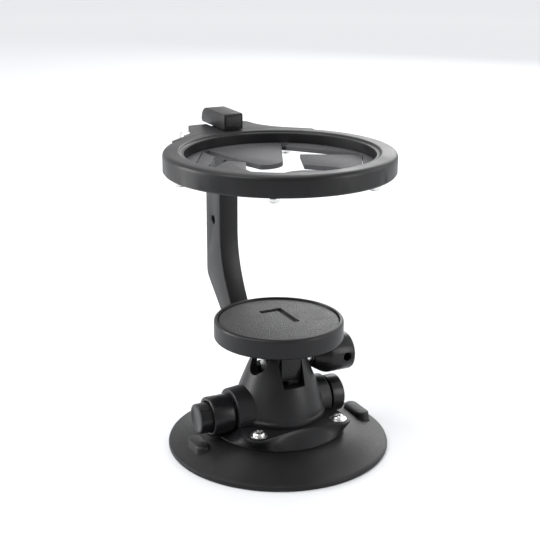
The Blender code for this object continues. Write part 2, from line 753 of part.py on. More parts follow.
def main():
    clear_scene()
    shell = make_material("black_plastic", (0.020, 0.020, 0.022), 0.42)
    satin = make_material("satin_plastic", (0.030, 0.030, 0.032), 0.34)
    rubber = make_material("black_rubber", (0.018, 0.018, 0.019), 0.62)
    soft = make_material("grip_rubber", (0.045, 0.045, 0.047), 0.70)
    steel = make_material("steel", (0.62, 0.62, 0.60), 0.28, 1.0)
    assembly = make_pivot(ASSEMBLY, (0, 0, 0))
    assembly.location.y = (CUP_RADIUS - CATCH_REAR_Y) / 2 * MM

    build_suction_cup(rubber)
    build_base_plate(shell)
    build_base_screws(steel)
    build_housing(shell)
    build_pump_cylinder(satin)
    build_pump_collar(satin)
    build_pump_end_cap(satin)
    build_valve(satin, rubber)
    build_pivot_post(satin)

    pump_pivot = make_pivot("pump_axis", (0, 0, PUMP_Z), assembly)
    build_pump_button(satin, pump_pivot)
    build_pump_rod(steel, rubber, pump_pivot)
    build_pump_spring(steel, pump_pivot)

    tilt_pivot = make_pivot("tilt_axis", (0, 0, TILT_Z), assembly)
    build_tilt_hub(satin, tilt_pivot)
    build_tray(shell, soft, steel, tilt_pivot)
    build_arm(shell, tilt_pivot)
    knob_pivot = make_pivot("knob_axis", (0, 0, TILT_Z), tilt_pivot)
    build_clamp(steel, satin, knob_pivot)

    fold_pivot = make_pivot("fold_axis", (0, FOLD_Y, FOLD_Z), tilt_pivot)
    build_ring(shell, soft, steel, fold_pivot)
    catch_pivot = make_pivot("catch_axis", (0, RAIL_REAR_Y, CATCH_BOTTOM), fold_pivot)
    build_slide_catch(shell, steel, catch_pivot)
    petal_pivots = []
    for number, (middle, _) in enumerate(PETALS, 1):
        pivot = make_pivot(f"petal_axis_{number}", petal_hinge(middle), fold_pivot)
        petal_pivots.append(pivot)
    build_petals(soft, petal_pivots)


main()
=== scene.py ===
"""Looks for the suction-mounted drink holder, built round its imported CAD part.

Lengths are in millimetres unless a name ends in _m. Shapes are written in the assembly's own
frame, whose origin is the middle of the suction cup's foot, and are then moved to where the
packed cup stands.
"""

from math import cos, pi, radians, sin

import bmesh
import bpy
from mathutils import Matrix, Vector


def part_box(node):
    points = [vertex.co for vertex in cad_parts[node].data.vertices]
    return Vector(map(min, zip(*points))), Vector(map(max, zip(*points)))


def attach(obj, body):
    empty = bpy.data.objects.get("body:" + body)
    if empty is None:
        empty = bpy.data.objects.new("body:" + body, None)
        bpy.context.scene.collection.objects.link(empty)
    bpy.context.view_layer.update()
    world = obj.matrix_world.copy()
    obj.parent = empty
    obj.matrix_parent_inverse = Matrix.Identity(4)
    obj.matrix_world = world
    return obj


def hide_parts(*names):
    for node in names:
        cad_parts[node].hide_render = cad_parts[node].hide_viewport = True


MM = 0.001
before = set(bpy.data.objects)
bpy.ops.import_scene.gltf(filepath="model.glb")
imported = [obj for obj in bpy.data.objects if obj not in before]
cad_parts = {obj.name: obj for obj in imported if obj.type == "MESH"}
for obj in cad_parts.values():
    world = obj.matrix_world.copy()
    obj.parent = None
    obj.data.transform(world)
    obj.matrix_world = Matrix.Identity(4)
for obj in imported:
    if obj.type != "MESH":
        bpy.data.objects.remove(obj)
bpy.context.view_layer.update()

cup_low, cup_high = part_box("suction_cup")
FOOT = Vector(((cup_low.x + cup_high.x) / 2, (cup_low.y + cup_high.y) / 2, cup_low.z))
CUP_RADIUS = (cup_high.x - cup_low.x) / 2 / MM


def measured(node):
    """A CAD node's lowest and highest corner, in the assembly's millimetres."""
    low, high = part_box(node)
    return (low - FOOT) / MM, (high - FOOT) / MM


# ---------------------------------------------------------------- materials


class Shader:
    """A small helper that adds and joins the nodes of one material."""

    def __init__(self, name):
        self.material = bpy.data.materials.new(name)
        self.material.use_nodes = True
        self.tree = self.material.node_tree
        self.surface = self.tree.nodes["Principled BSDF"]
        self.place = self.add("ShaderNodeTexCoord").outputs["Object"]

    def add(self, kind, **values):
        node = self.tree.nodes.new(kind)
        for name, value in values.items():
            setattr(node, name, value)
        return node

    def join(self, output, socket):
        self.tree.links.new(output, socket)

    def noise(self, scale, detail=3.0, roughness=0.5, stretch=(1, 1, 1)):
        node = self.add("ShaderNodeTexNoise")
        node.inputs["Scale"].default_value = scale
        node.inputs["Detail"].default_value = detail
        node.inputs["Roughness"].default_value = roughness
        mapping = self.add("ShaderNodeMapping")
        mapping.inputs["Scale"].default_value = stretch
        self.join(self.place, mapping.inputs["Vector"])
        self.join(mapping.outputs["Vector"], node.inputs["Vector"])
        return node.outputs["Fac"]

    def cells(self, scale, feature="F1"):
        node = self.add("ShaderNodeTexVoronoi", feature=feature)
        node.inputs["Scale"].default_value = scale
        self.join(self.place, node.inputs["Vector"])
        return node.outputs["Distance"]

    def ramp(self, value, low, high, from_low=0.3, from_high=0.7):
        """Maps a value to a number between low and high."""
        node = self.add("ShaderNodeMapRange")
        node.inputs["From Min"].default_value = from_low
        node.inputs["From Max"].default_value = from_high
        node.inputs["To Min"].default_value = low
        node.inputs["To Max"].default_value = high
        self.join(value, node.inputs["Value"])
        return node.outputs["Result"]

    def mix(self, share, first, second):
        node = self.add("ShaderNodeMix", data_type="RGBA")
        node.inputs["A"].default_value = (*first, 1)
        node.inputs["B"].default_value = (*second, 1)
        self.join(share, node.inputs["Factor"])
        return node.outputs["Result"]

    def bump(self, height, distance_mm, strength=1.0, under=None):
        node = self.add("ShaderNodeBump")
        node.inputs["Strength"].default_value = strength
        node.inputs["Distance"].default_value = distance_mm * MM
        self.join(height, node.inputs["Height"])
        if under:
            self.join(under, node.inputs["Normal"])
        return node.outputs["Normal"]

    def finish(self, colour, roughness, normal, metallic=0.0, specular=0.5):
        self.join(colour, self.surface.inputs["Base Color"])
        self.join(roughness, self.surface.inputs["Roughness"])
        self.join(normal, self.surface.inputs["Normal"])
        self.surface.inputs["Metallic"].default_value = metallic
        self.surface.inputs["Specular IOR Level"].default_value = specular
        return self.material


def plastic(name, dark, light, smooth, rough, grain_mm, scratches=0.0):
    """Moulded plastic: a fine spark-eroded grain, with slow changes in tone and gloss."""
    shader = Shader(name)
    cloud = shader.noise(60, 4)
    grain = shader.noise(2600, 2)
    wear = shader.noise(900, 2, 0.6, stretch=(1, 1, 0.06))
    colour = shader.mix(shader.ramp(cloud, 0, 1), dark, light)
    roughness = shader.ramp(cloud, smooth, rough)
    normal = shader.bump(grain, grain_mm, 0.6)
    if scratches:
        normal = shader.bump(wear, grain_mm, scratches, normal)
    return shader.finish(colour, roughness, normal, specular=0.26)


def rubber(name, dark, light, smooth, rough):
    shader = Shader(name)
    cloud = shader.noise(45, 5, 0.6)
    skin = shader.noise(700, 4, 0.6)
    colour = shader.mix(shader.ramp(cloud, 0, 1), dark, light)
    normal = shader.bump(skin, 0.05, 0.5)
    return shader.finish(colour, shader.ramp(skin, smooth, rough), normal, specular=0.24)


def pebbled(name, dark, light):
    """A pad with a leather-like pebble pressed into it; its colour is darker in the low cracks between
    pebbles and lighter on their raised tops, which is painted shade and painted highlight.
    """
    shader = Shader(name)
    pebble = shader.cells(1300, "SMOOTH_F1")
    cloud = shader.noise(120, 4)
    fine = shader.noise(2600, 3)
    # Painted shade: the colour darkens in the low cracks between pebbles, where the bump below sinks,
    # and lightens on the raised tops.
    colour = shader.mix(shader.ramp(pebble, 0, 1, 0.1, 0.7), light, dark)
    pressed = shader.bump(shader.ramp(pebble, 1, 0, 0.1, 0.8), 0.16)
    normal = shader.bump(fine, 0.06, 0.8, pressed)
    return shader.finish(colour, shader.ramp(cloud, 0.44, 0.54), normal)


def knurled(name, dark, light):
    shader = Shader(name)
    rib = shader.cells(2400, "F1")
    # Painted shade: the colour darkens in the knurl's low grooves, where the bump below sinks, and
    # lightens on the raised ribs.
    colour = shader.mix(shader.ramp(rib, 0, 1, 0.1, 0.6), light, dark)
    normal = shader.bump(shader.ramp(rib, 1, 0, 0.05, 0.6), 0.15)
    return shader.finish(colour, shader.ramp(rib, 0.42, 0.52), normal)


def steel(name):
    shader = Shader(name)
    cloud = shader.noise(300, 3)
    brushed = shader.noise(1500, 3, 0.6, stretch=(0.1, 1, 1))
    colour = shader.mix(shader.ramp(cloud, 0, 1), (0.56, 0.56, 0.55), (0.74, 0.74, 0.73))
    normal = shader.bump(brushed, 0.02, 0.5)
    return shader.finish(colour, shader.ramp(brushed, 0.22, 0.36), normal, metallic=1.0)


def backdrop(name):
    """A pale sweep, darker near the object and brighter far from it: painted shade near the object and
    painted light far off, evening out the lamps' uneven reach.
    """
    shader = Shader(name)
    away = shader.add("ShaderNodeVectorMath", operation="LENGTH")
    shader.join(shader.place, away.inputs[0])
    # Painted shade and painted light: the floor's colour runs from darker near the object to brighter
    # far off, standing in for the lamps' uneven reach.
    colour = shader.mix(
        shader.ramp(away.outputs["Value"], 0, 1, 0.2, 2.2), (0.66, 0.667, 0.678), (0.97, 0.975, 0.985)
    )
    normal = shader.bump(shader.noise(400, 2), 0.01, 0.1)
    return shader.finish(colour, shader.ramp(shader.noise(3, 3), 0.62, 0.66), normal, specular=0.3)


SHELL = plastic("shell_plastic", (0.006, 0.006, 0.0065), (0.009, 0.009, 0.010), 0.36, 0.46, 0.03, 0.25)
SATIN = plastic("satin_plastic", (0.005, 0.005, 0.0055), (0.008, 0.008, 0.009), 0.25, 0.34, 0.015)
CUP = rubber("cup_rubber", (0.006, 0.006, 0.0065), (0.010, 0.010, 0.0105), 0.36, 0.48)
GRIP = rubber("grip_rubber", (0.040, 0.040, 0.042), (0.056, 0.056, 0.059), 0.50, 0.62)
PAD = pebbled("pad_rubber", (0.014, 0.014, 0.015), (0.034, 0.034, 0.035))
KNURL = knurled("knurled_plastic", (0.008, 0.008, 0.009), (0.026, 0.026, 0.028))
STEEL = steel("screw_steel")


# ---------------------------------------------------------------- shapes


def spin(profile, steps=160, axis="Z", centre=(0, 0, 0)):
    """A turned solid from a closed outline of (radius, height) points."""
    body = bmesh.new()
    rings = []
    for radius, height in profile:
        if radius == 0:
            rings.append([body.verts.new((0, 0, height))] * steps)
            continue
        ring = []
        for step in range(steps):
            turn = 2 * pi * step / steps
            ring.append(body.verts.new((radius * cos(turn), radius * sin(turn), height)))
        rings.append(ring)
    for index, ring in enumerate(rings):
        after = rings[(index + 1) % len(rings)]
        for step in range(steps):
            following = (step + 1) % steps
            corners = [ring[step], ring[following], after[following], after[step]]
            corners = list(dict.fromkeys(corners))
            if len(corners) > 2:
                body.faces.new(corners)
    if axis == "X":
        bmesh.ops.rotate(body, verts=body.verts, matrix=Matrix.Rotation(pi / 2, 3, "Y"))
    if axis == "Y":
        bmesh.ops.rotate(body, verts=body.verts, matrix=Matrix.Rotation(-pi / 2, 3, "X"))
    bmesh.ops.translate(body, verts=body.verts, vec=centre)
    return body


def rod(radius, low, high, steps, axis="Z", centre=(0, 0, 0)):
    """A round bar, used to bore holes."""
    return spin([(0, low), (radius, low), (radius, high), (0, high)], steps, axis, centre)


def rounded(points, radius, steps=3):
    """A closed outline with each corner cut by a small curve."""
    found = []
    for index, point in enumerate(points):
        here = Vector(point)
        before = Vector(points[index - 1]) - here
        after = Vector(points[(index + 1) % len(points)]) - here
        if before.length < 1e-6 or after.length < 1e-6 or here.x == 0:
            found.append(tuple(here))
            continue
        reach = min(radius, before.length * 0.45, after.length * 0.45)
        first = here + before.normalized() * reach
        last = here + after.normalized() * reach
        for step in range(steps + 1):
            share = step / steps
            bent = first.lerp(here, share).lerp(here.lerp(last, share), share)
            found.append(tuple(bent))
    return found


def prism(outline, low, high, axis="Z"):
    """A closed outline pushed along an axis. Its points are the other two coordinates."""
    places = {
        "X": lambda point, depth: (depth, point[0], point[1]),
        "Y": lambda point, depth: (point[0], depth, point[1]),
        "Z": lambda point, depth: (point[0], point[1], depth),
    }
    body = bmesh.new()
    ends = []
    for depth in (low, high):
        ends.append([body.verts.new(places[axis](point, depth)) for point in outline])
    body.faces.new(ends[0])
    body.faces.new(ends[1])
    for index in range(len(outline)):
        after = (index + 1) % len(outline)
        body.faces.new([ends[0][index], ends[0][after], ends[1][after], ends[1][index]])
    return body


def box(low, high):
    corners = [(low[0], low[1]), (high[0], low[1]), (high[0], high[1]), (low[0], high[1])]
    return prism(corners, low[2], high[2])


def layers(outlines):
    """A solid through a stack of (outline, height) with the same number of points each."""
    body = bmesh.new()
    rings = [[body.verts.new((x, y, height)) for x, y in outline] for outline, height in outlines]
    body.faces.new(rings[0])
    body.faces.new(rings[-1])
    for lower, upper in zip(rings, rings[1:]):
        for index in range(len(lower)):
            after = (index + 1) % len(lower)
            body.faces.new([lower[index], lower[after], upper[after], upper[index]])
    return body


def arc(centre, radius, start, end, steps):
    points = []
    for step in range(steps + 1):
        turn = radians(start + (end - start) * step / steps)
        points.append((centre[0] + radius * cos(turn), centre[1] + radius * sin(turn)))
    return points


def curve(corners, steps):
    """A smooth Bezier curve of any degree through its end points."""
    points = []
    for step in range(steps + 1):
        level = [Vector(corner) for corner in corners]
        while len(level) > 1:
            level = [a.lerp(b, step / steps) for a, b in zip(level, level[1:])]
        points.append((level[0].x, level[0].y))
    return points


def make(name, body, material):
    """A mesh object in the row frame from a bmesh in the assembly's millimetres."""
    bmesh.ops.recalc_face_normals(body, faces=body.faces)
    bmesh.ops.scale(body, verts=body.verts, vec=(MM, MM, MM))
    bmesh.ops.translate(body, verts=body.verts, vec=FOOT)
    mesh = bpy.data.meshes.new(name)
    body.to_mesh(mesh)
    body.free()
    mesh.materials.append(material)
    made = bpy.data.objects.new(name, mesh)
    bpy.context.scene.collection.objects.link(made)
    return made


def apply_modifiers(made):
    """Bakes an object's modifiers into its mesh."""
    bpy.context.view_layer.update()
    graph = bpy.context.evaluated_depsgraph_get()
    mesh = bpy.data.meshes.new_from_object(made.evaluated_get(graph))
    made.modifiers.clear()
    made.data = mesh


def combine(made, body, operation="DIFFERENCE"):
    """Cuts a shape from an object, or joins it on."""
    tool = make("tool", body, made.active_material)
    boolean = made.modifiers.new("boolean", "BOOLEAN")
    boolean.operation = operation
    boolean.object = tool
    boolean.solver = "EXACT"
    apply_modifiers(made)
    bpy.data.objects.remove(tool)


def soften(made, width, segments=3, angle=32):
    """Rounds an object's edges and shades it smooth."""
    if width:
        rounding = made.modifiers.new("rounding", "BEVEL")
        rounding.width = width * MM
        rounding.segments = segments
        rounding.limit_method = "ANGLE"
        rounding.angle_limit = radians(angle)
        rounding.use_clamp_overlap = True
        rounding.harden_normals = False
        rounding.miter_outer = "MITER_ARC"
        apply_modifiers(made)
    made.data.shade_smooth()
    made.data.set_sharp_from_angle(angle=radians(angle + 8))


def place(made, body, slot, *nodes):
    """Hands a finished piece to its CAD body, in place of the CAD nodes it stands for."""
    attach(made, body)
    if nodes:
        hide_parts(*nodes)


def piece(name, shape, material, body, slot, *nodes, width=0.0, segments=3, cuts=(), joins=()):
    """Makes one piece: its shape, with others joined on, others cut away, and its edges rounded."""
    made = make(name, shape, material)
    for other in joins:
        combine(made, other, "UNION")
    for other in cuts:
        combine(made, other)
    soften(made, width, segments)
    place(made, body, slot, *nodes)
    return made


# ---------------------------------------------------------------- suction cup and base

cup_top = measured("suction_cup")[1].z
cup_outer = curve([(34.6, cup_top), (39.5, cup_top), (45.0, 6.0), (51.0, 3.9), (55.9, 2.6)], 24)
cup_profile = [(5.2, cup_top), *cup_outer, (56.7, 2.2), (CUP_RADIUS, 1.4), (CUP_RADIUS, 0.5)]
cup_profile += [(56.7, 0.0), (54.0, 0.0)]
cup_profile += curve([(54.0, 0.0), (46.0, 3.0), (40.0, 7.1), (32.0, 7.1)], 12)[1:] + [(5.2, 7.1)]
piece("cup_skin", spin(cup_profile, 224), CUP, "root", "suction_rubber", "suction_cup")


def tab(middle_x, reach, crown):
    """A raised finger tab that lifts the cup's rim to let the air in."""
    foot = arc((middle_x, reach), 4.9, 0, 180, 20) + arc((middle_x, -reach), 4.9, 180, 360, 20)
    waist = arc((middle_x, reach), 4.1, 0, 180, 20) + arc((middle_x, -reach), 4.1, 180, 360, 20)
    head = arc((middle_x, reach), 3.6, 0, 180, 20) + arc((middle_x, -reach), 3.6, 180, 360, 20)
    return layers([(foot, 3.6), (waist, crown - 3.4), (head, crown)])


for label, middle_x, reach, crown in (("right", 47.3, 5.4, 9.4), ("left", -44.8, 4.4, 8.7)):
    piece(
        f"cup_tab_{label}", tab(middle_x, reach, crown), CUP, "root", "suction_rubber", width=1.1
    )

plate_low, plate_high = measured("base_plate")
SCREW_X = measured("base_screw_1")[0].x + 4.0
SCREW_Y = measured("base_screw_1")[0].y + 4.0


def lobed(reach, lobe, side):
    """A square outline with waisted sides and round corners, moved out by reach."""
    points = []
    for turn, x, y in ((0, 1, 1), (90, -1, 1), (180, -1, -1), (270, 1, -1)):
        middle = (x * SCREW_X, y * SCREW_Y)
        first = arc(middle, lobe + reach, turn - 10, turn + 100, 16)
        points += first
        next_middle = {0: (-SCREW_X, SCREW_Y), 90: (-SCREW_X, -SCREW_Y)}
        next_middle.update({180: (SCREW_X, -SCREW_Y), 270: (SCREW_X, SCREW_Y)})
        after = arc(next_middle[turn], lobe + reach, turn + 80, turn + 80, 1)[0]
        way = radians(turn + 90)
        waist = ((side + reach) * cos(way), (side + reach) * sin(way))
        bent = curve([first[-1], waist, waist, after], 12)
        points += bent[1:-1]
    return points


def toward_circle(outline, radius, share):
    """An outline moved part of the way out to a circle."""
    moved = []
    for x, y in outline:
        length = (x * x + y * y) ** 0.5
        scale = 1 + (radius / length - 1) * share
        moved.append((x * scale, y * scale))
    return moved


top_outline = lobed(0.0, 6.4, 25.2)
plate_stack = []
for height, share in ((0.0, 1.0), (0.12, 0.99), (0.3, 0.72), (0.5, 0.42), (0.7, 0.18), (0.82, 0.04)):
    level = plate_low.z + (plate_high.z - plate_low.z) * height
    plate_stack.append((toward_circle(top_outline, 34.6, share), level))
plate_stack.append((top_outline, plate_high.z - 0.5))
plate_stack.append((lobed(-0.15, 6.4, 25.2), plate_high.z - 0.12))
plate_stack.append((lobed(-0.5, 6.4, 25.2), plate_high.z))
PUMP_BORE = 8.9
channel = [(0, -46), (11.2, -46), (11.2, -27.9), (PUMP_BORE, -27.9)]
channel += [(PUMP_BORE, 25.8), (10.2, 25.8), (10.2, 46), (0, 46)]
PUMP_MIDDLE = (0, 0, measured("pump_button")[0].z + 7.7)
piece(
    "base_skin",
    layers(plate_stack),
    SHELL,
    "root",
    "shell_plastic",
    "base_plate",
    cuts=[spin(channel, 96, "X", PUMP_MIDDLE)],
)


def screw_head(centre, radius, height, shank, length, way=1):
    """A pan-head screw, with a cross pressed into its head, pointing up or down."""
    profile = [(0, height), *curve([(radius * 0.5, height), (radius, height * 0.9), (radius, 0)], 10)]
    profile += [(shank, 0), (shank, -length), (0, -length)]
    profile = [(r, way * z) for r, z in profile]
    cuts = []
    for across, along in ((0.32, radius * 0.62), (radius * 0.62, 0.32)):
        low = Vector(centre) + Vector((-across, -along, height * 0.45 * way))
        high = Vector(centre) + Vector((across, along, (height + 0.5) * way))
        low.z, high.z = sorted((low.z, high.z))
        cuts.append(box(low, high))
    return spin(profile, 48, "Z", centre), cuts


for number in range(1, 5):
    low, high = measured(f"base_screw_{number}")
    middle = ((low.x + high.x) / 2, (low.y + high.y) / 2, plate_high.z + 0.3)
    shape, crosses = screw_head(middle, 3.2, 1.8, 1.5, 5.4)
    piece(
        f"base_screw_skin_{number}",
        shape,
        STEEL,
        "root",
        "screw_steel",
        f"base_screw_{number}",
        cuts=crosses,
        width=0.12,
        segments=2,
    )
    washer = spin(
        rounded([(1.9, 0.0), (4.4, 0.0), (4.4, 0.28), (1.9, 0.28)], 0.1), 48, "Z",
        (middle[0], middle[1], plate_high.z),
    )
    piece(f"base_washer_{number}", washer, STEEL, "root", "screw_steel")

# ---------------------------------------------------------------- housing and pump

housing_low, housing_high = measured("housing")
lip = housing_low.z
bell = [(12.6, 34.0), (12.0, 42.0), (10.9, housing_high.z), (12.9, housing_high.z)]
bell_outer = curve([(14.3, 47.5), (15.8, 42.6), (20.5, 32.5), (22.9, 26.0), (23.3, 20.2)], 26)
bell_foot = [(24.3, 19.4), (24.3, lip - 1), (21.2, lip - 1), (20.6, 21.0), (18.4, 27.0)]
bell_profile = [(0, 34.0), *bell, *bell_outer, *bell_foot, (15.0, 31.0), (0, 31.0)]
left_boss = rounded([(0, -17.0), (13.4, -17.0), (12.5, -27.7), (0, -27.7)], 0.6)
right_boss = rounded([(0, 16.0), (12.2, 16.0), (11.2, 25.8), (0, 25.8)], 0.6)
front_slot = [(-5.7, 36.3), (6.2, 36.3), (7.4, 60), (-7.0, 60)]
left_notch = arc((-3.5, 46.4), 5.4, 180, 360, 24) + [(1.9, 60), (-8.9, 60)]
right_notch = arc((0.4, 41.4), 4.4, 180, 360, 24) + [(4.8, 60), (-4.0, 60)]
piece(
    "housing_skin",
    spin(bell_profile, 144),
    SHELL,
    "root",
    "shell_plastic",
    "housing",
    joins=[
        spin(left_boss, 97, "X", PUMP_MIDDLE),
        spin(right_boss, 97, "X", PUMP_MIDDLE),
    ],
    cuts=[
        box((-40, -40, 5), (40, 40, lip)),
        rod(PUMP_BORE, -30, 30, 83, "X", PUMP_MIDDLE),
        prism(front_slot, -30, -5, "Y"),
        box((-13.4, 4.9, 39.1), (13.4, 30, 60)),
        prism(left_notch, -30, -8, "X"),
        prism(right_notch, 8, 30, "X"),
    ],
    width=0.45,
)


collar_low, collar_high = measured("pump_collar")
collar_profile = rounded(
    [(8.1, collar_low.x), (10.2, collar_low.x), (10.2, collar_high.x), (8.1, collar_high.x)], 0.7
)
piece(
    "collar_skin",
    spin(collar_profile, 128, "X", PUMP_MIDDLE),
    SATIN,
    "root",
    "pump_plastic",
    "pump_collar",
)
button_low, button_high = measured("pump_button")
button_profile = [(0, button_low.x + 0.15), (5.6, button_low.x + 0.15), (5.8, button_low.x)]
button_profile += [(6.8, button_low.x), (7.5, button_low.x + 0.3), (7.7, button_low.x + 1.0)]
button_profile += [(7.7, button_high.x), (6.4, button_high.x), (6.4, button_low.x + 2.2)]
button_profile += [(0, button_low.x + 2.2)]
piece(
    "button_skin",
    spin(button_profile, 128, "X", PUMP_MIDDLE),
    SATIN,
    "pump",
    "pump_plastic",
    "pump_button",
)
cap_low, cap_high = measured("pump_end_cap")
cap_profile = [(0, cap_high.x - 0.5), (6.6, cap_high.x - 0.5), (7.0, cap_high.x)]
cap_profile += [(8.7, cap_high.x), (9.6, cap_high.x - 0.6), (9.8, cap_high.x - 1.4)]
cap_profile += [(9.8, cap_low.x + 1.7), (9.5, cap_low.x + 1.35), (8.7, cap_low.x + 1.1)]
cap_profile += [(8.7, cap_low.x), (7.0, cap_low.x)]
cap_profile += [(7.0, cap_low.x + 5.5), (0, cap_low.x + 5.5)]
piece(
    "end_cap_skin",
    spin(cap_profile, 128, "X", PUMP_MIDDLE),
    SATIN,
    "root",
    "pump_plastic",
    "pump_end_cap",
)

# ---------------------------------------------------------------- tilt joint and clamp

knob_low, knob_high = measured("tilt_knob")
TILT_MIDDLE = (0, 0, (knob_low.z + knob_high.z) / 2)
knob_profile = [(0, knob_high.x - 0.3), (7.6, knob_high.x - 0.3), (8.0, knob_high.x)]
knob_profile += [(8.9, knob_high.x), (9.6, knob_high.x - 0.5), (9.9, knob_high.x - 1.3)]
knob_profile += curve([(9.9, 27.0), (9.9, 24.5), (7.6, 21.5), (5.6, knob_low.x)], 10)
knob_profile += [(3.3, knob_low.x), (3.3, 30.9), (0, 30.9)]
piece(
    "knob_skin",
    spin(knob_profile, 128, "X", TILT_MIDDLE),
    SATIN,
    "knob",
    "pump_plastic",
    "tilt_knob",
    cuts=[rod(2.3, -14, 14, 40, "Y", (35.2, 0, TILT_MIDDLE[2]))],
    width=0.25,
    segments=2,
)

hub_low, hub_high = measured("tilt_hub")
hub_outline = [(8.6 * cos(2 * pi * n / 96), 7.0 * sin(2 * pi * n / 96)) for n in range(96)]
tongue = box((-4.7, hub_low.y, 38.5), (5.9, -2.0, hub_high.z - 0.02))
piece(
    "hub_skin",
    prism(hub_outline, hub_low.z, hub_high.z),
    SATIN,
    "holder",
    "pump_plastic",
    "tilt_hub",
    joins=[tongue],
    cuts=[
        box((-4.0, -6.2, 30), (4.0, 12.0, 50.4)),
        rod(4.5, -12, -5.9, 48, "X", TILT_MIDDLE),
    ],
    width=0.5,
)

# ---------------------------------------------------------------- tray and pad

tray_low, tray_high = measured("tray")
rim = tray_high.z
tray_profile = [(4.2, 64.6), (30.9, 64.6), (30.9, rim - 0.4), (31.1, rim)]
tray_profile += curve([(31.2, rim), (33.0, rim), (33.0, rim - 1.9)], 8)
tray_profile += curve([(33.0, tray_low.z + 1.5), (33.0, tray_low.z), (31.4, tray_low.z)], 8)
tray_profile += [(1.9, tray_low.z), (1.9, 62.2), (4.2, 62.2)]
piece("tray_skin", spin(tray_profile, 224), SHELL, "holder", "shell_plastic", "tray")

pad_low, pad_high = measured("tray_pad")
pad_top = pad_high.z
pad_profile = [(0, pad_low.z), (30.6, pad_low.z), (30.6, pad_top - 0.5), (30.4, pad_top - 0.15)]
pad_profile += [(29.9, pad_top), (0, pad_top)]
groove = [(-4.2, 14.8), (8.3, 14.8), (8.3, -7.4), (4.9, -7.4), (4.9, 11.0), (-4.2, 11.0)]
piece(
    "pad_skin",
    spin(pad_profile, 192),
    PAD,
    "holder",
    "pad_rubber",
    "tray_pad",
    cuts=[prism(groove, pad_top - 1.4, pad_top + 2)],
)

# ---------------------------------------------------------------- arm

arm_low, arm_high = measured("arm")
ARM_TOP, ARM_UNDER = 57.3, arm_low.z
ARM_HOLE = (0, 69.5, 103.0)
pin_low, pin_high = measured("fold_pin")
FOLD_MIDDLE = (0, (pin_low.y + pin_high.y) / 2, (pin_low.z + pin_high.z) / 2)
arm_outline = [(60.3, 133.0)]
arm_outline += curve([(60.3, 98), (60.3, 79), (49.5, 64), (44, ARM_TOP)], 28)
arm_outline += [(36.5, ARM_TOP), (arm_low.y, ARM_TOP), (arm_low.y, ARM_UNDER)]
arm_outline += curve([(44.0, ARM_UNDER), (48.5, ARM_UNDER), (52.5, 46.6), (60.8, 54.0)], 10)
arm_outline += curve([(75.0, 66.7), (78.8, 70.1), (78.8, 71.5), (78.8, 75.5)], 8)
arm_outline += [(78.8, 123.0), (75.0, 130.0), (75.0, 147.0)]
arm_outline += arc((FOLD_MIDDLE[1], FOLD_MIDDLE[2]), 5.0, 0, 180, 28)
arm_outline += [(64.9, 146.0), (62.0, 144.1), (54.0, 144.1), (54.0, 136.0)]
piece(
    "arm_skin",
    prism(arm_outline, arm_low.x, arm_high.x, "X"),
    SHELL,
    "holder",
    "shell_plastic",
    "arm",
    cuts=[
        rod(2.2, -10, 10, 48, "X", ARM_HOLE),
        rod(2.3, -10, 10, 48, "X", FOLD_MIDDLE),
    ],
    width=0.9,
)

# ---------------------------------------------------------------- ring

RING = CUP_RADIUS
RING_TOP = 154.7
RING_FOOT = measured("ring_body")[0].z
RING_FLOOR = 148.8
EAR_SLOT = 5.9
RAIL_FRONT, RAIL_REAR = 60.0, 64.2
ring_profile = [(46.7, RING_FLOOR), (46.7, RING_TOP - 1.5), (47.0, RING_TOP - 1.15)]
ring_profile += [(48.2, RING_TOP - 1.0), (48.5, RING_TOP - 0.85)]
ring_profile += curve([(48.6, RING_TOP - 0.7), (48.8, RING_TOP), (49.8, RING_TOP)], 6)
ring_profile += curve([(RING - 3.0, RING_TOP), (RING, RING_TOP), (RING, RING_TOP - 2.6)], 8)
ring_profile += [(RING, RING_FOOT + 0.7), (RING - 0.5, RING_FOOT), (RING - 1.8, RING_FOOT)]
ring_profile += [(RING - 1.8, RING_FLOOR)]
inside = arc((0, 0), RING - 2.0, 136, 44, 40)
right_side = curve([(39.8, 41.0), (33.0, 47.5), (22.0, 53.5), (18.4, 67.0)], 24)
right_side += curve([(17.6, 72.0), (17.6, 76.0), (13.0, 76.0)], 8)
ear = inside + right_side + [(-x, y) for x, y in reversed(right_side)]
rail = [(-2.2, RING_TOP - 1), (2.2, RING_TOP - 1), (2.2, 158.5), (3.4, 158.5)]
rail += [(3.4, 160.2), (-3.4, 160.2), (-3.4, 158.5), (-2.2, 158.5)]
piece(
    "ring_skin",
    spin(ring_profile, 224),
    SHELL,
    "ring",
    "shell_plastic",
    "ring_body",
    joins=[prism(ear, RING_FOOT + 0.8, RING_TOP - 0.02), prism(rail, RAIL_FRONT, RAIL_REAR, "Y")],
    cuts=[
        box((-EAR_SLOT, 58.0, 140), (EAR_SLOT, 90, 152.2)),
        box((-EAR_SLOT, 64.6, 140), (EAR_SLOT, 90, 165)),
    ],
    width=0.35,
)

base_low, base_high = measured("ring_base")
base_profile = rounded(
    [(47.0, base_low.z), (54.9, base_low.z), (54.9, base_high.z), (47.0, base_high.z)], 0.4
)
piece("ring_base_skin", spin(base_profile, 224), SHELL, "ring", "shell_plastic", "ring_base")

for number in range(1, 7):
    low, high = measured(f"ring_screw_{number}")
    middle = ((low.x + high.x) / 2, (low.y + high.y) / 2, low.z + 2.4)
    shape, crosses = screw_head(middle, 3.0, 2.4, 1.2, 7.4, way=-1)
    piece(
        f"ring_screw_skin_{number}",
        shape,
        STEEL,
        "ring",
        "screw_steel",
        f"ring_screw_{number}",
        cuts=crosses,
        width=0.1,
        segments=2,
    )

